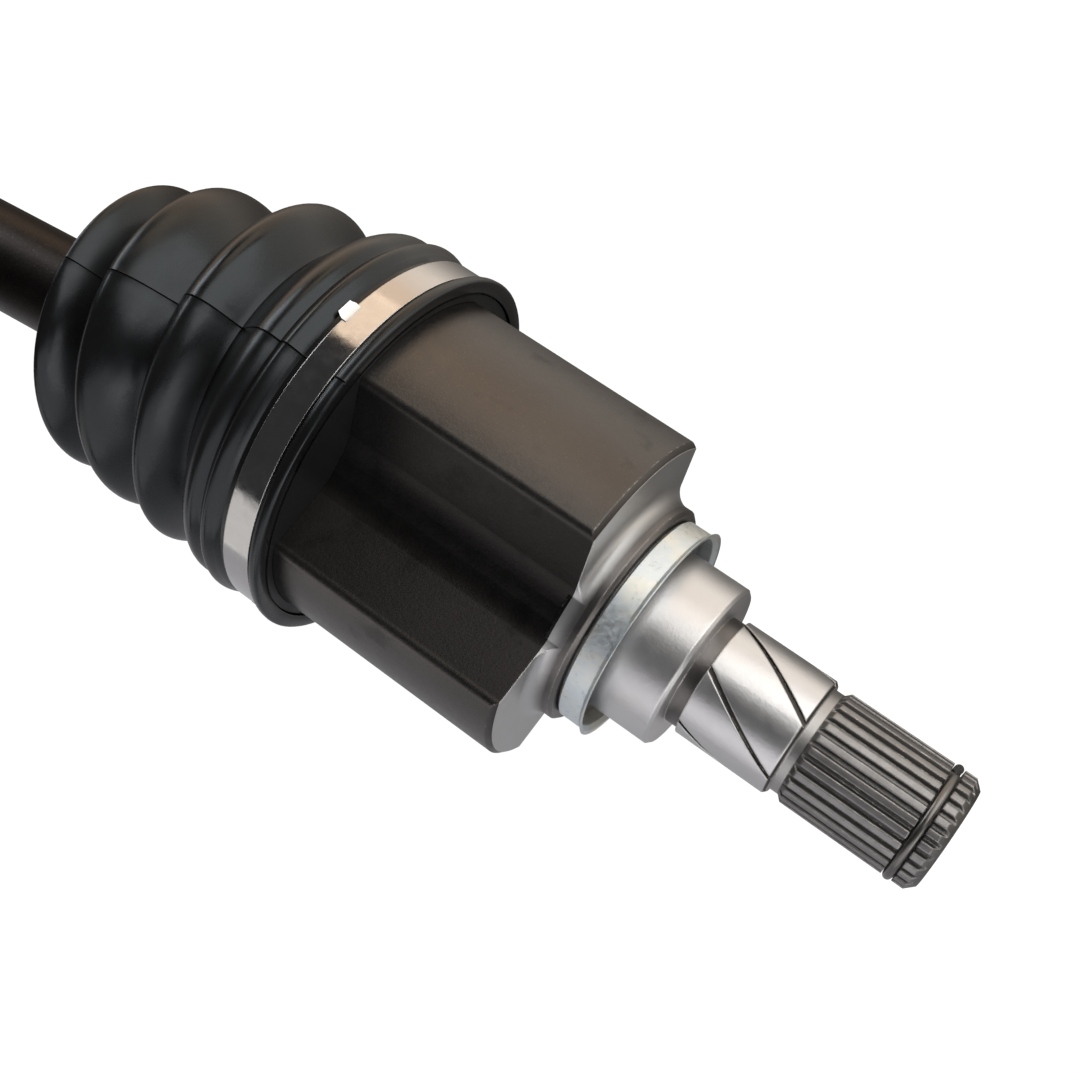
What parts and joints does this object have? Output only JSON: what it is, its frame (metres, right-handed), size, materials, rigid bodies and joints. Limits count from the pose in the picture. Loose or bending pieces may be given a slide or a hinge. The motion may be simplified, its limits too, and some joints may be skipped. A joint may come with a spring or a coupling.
{
  "type": "cv axle shaft",
  "caption": "Front drive half-shaft with a plunging tripod joint inboard, a fixed ball joint outboard, convoluted boots, band clamps and splined stubs.",
  "frame": {"origin": "on the axis of the inner stub, midway along its ground pilot journal", "axes": "+X along the inner stub towards the gearbox; +Z along the lobe-free side of the housing, away from its third lobe; the bar bends in the XY plane"},
  "size_m": [0.658, 0.1359, 0.0936],
  "materials": {
    "black_forging": "satin",
    "black_bar": "satin",
    "zinc_plate": "satin",
    "spring_steel": "satin",
    "stainless_band": "gloss",
    "machined_steel": "satin",
    "bearing_steel": "gloss",
    "phosphated_steel": "matte",
    "boot_rubber": "satin",
    "adapter_rubber": "matte"
  },
  "bodies": {
    "housing": {"inner_housing": "black_forging", "dust_shield": "zinc_plate", "stub_snap_ring": "spring_steel", "boot_adapter": "adapter_rubber", "inner_boot": "boot_rubber", "inner_large_clamp": "stainless_band"},
    "needle_set_c": {"needles_c": "bearing_steel"},
    "track_roller_c": {"roller_c": "bearing_steel"},
    "bar": {"axle_bar": "black_bar", "spider": "machined_steel", "spider_ring": "spring_steel", "needle_washers": "machined_steel", "trunnion_clips": "spring_steel", "needles_a": "bearing_steel", "needles_b": "bearing_steel", "inner_small_clamp": "stainless_band", "inner_race": "machined_steel", "race_ring": "spring_steel", "outer_boot": "boot_rubber", "outer_small_clamp": "stainless_band"},
    "track_roller_a": {"roller_a": "bearing_steel"},
    "track_roller_b": {"roller_b": "bearing_steel"},
    "cage_and_balls": {"ball_cage": "phosphated_steel", "balls": "bearing_steel"},
    "bell": {"outer_bell": "black_forging", "outer_large_clamp": "stainless_band"}
  },
  "joints": [
    {"name": "plunge", "type": "slide", "parent": "housing", "child": "needle_set_c", "axis": [1, 0, 0], "range_m": [-0.014, 0.012], "deforming": ["inner_boot"]},
    {"name": "roller_c_spin", "type": "hinge", "parent": "needle_set_c", "child": "track_roller_c", "pos_m": [-0.082, 0, 0], "axis": [0, 0, 1], "range_deg": [-54.4, 46.9]},
    {"name": "inner_bend", "type": "hinge", "parent": "needle_set_c", "child": "bar", "pos_m": [-0.082, 0, 0], "axis": [0, 0, 1], "range_deg": [-18, 8], "deforming": ["inner_boot"]},
    {"name": "roller_a_spin", "type": "hinge", "parent": "bar", "child": "track_roller_a", "pos_m": [-0.082, 0, 0], "axis": [-0.0905, 0.8613, 0.5], "range_deg": [-17.5, 8.9]},
    {"name": "roller_b_spin", "type": "hinge", "parent": "bar", "child": "track_roller_b", "pos_m": [-0.082, 0, 0], "axis": [0.0905, -0.8613, 0.5], "range_deg": [-16.9, 35.5]},
    {"name": "outer_bend", "type": "hinge", "parent": "bar", "child": "bell", "pos_m": [-0.4997, -0.0439, 0], "axis": [0, 0, 1], "range_deg": [-40, 40], "deforming": ["outer_boot"]},
    {"name": "cage_bend", "type": "hinge", "parent": "bar", "child": "cage_and_balls", "pos_m": [-0.4997, -0.0439, 0], "axis": [0, 0, 1], "range_deg": [-20.5, 20.5]}
  ],
  "couplings": [
    {"joint": "roller_c_spin", "follows": "plunge", "rad_per_m": 65.359},
    {"joint": "roller_a_spin", "follows": "inner_bend", "ratio": 0.8585},
    {"joint": "roller_b_spin", "follows": "inner_bend", "ratio": -1.8585},
    {"joint": "cage_bend", "follows": "outer_bend", "ratio": 0.5}
  ]
}
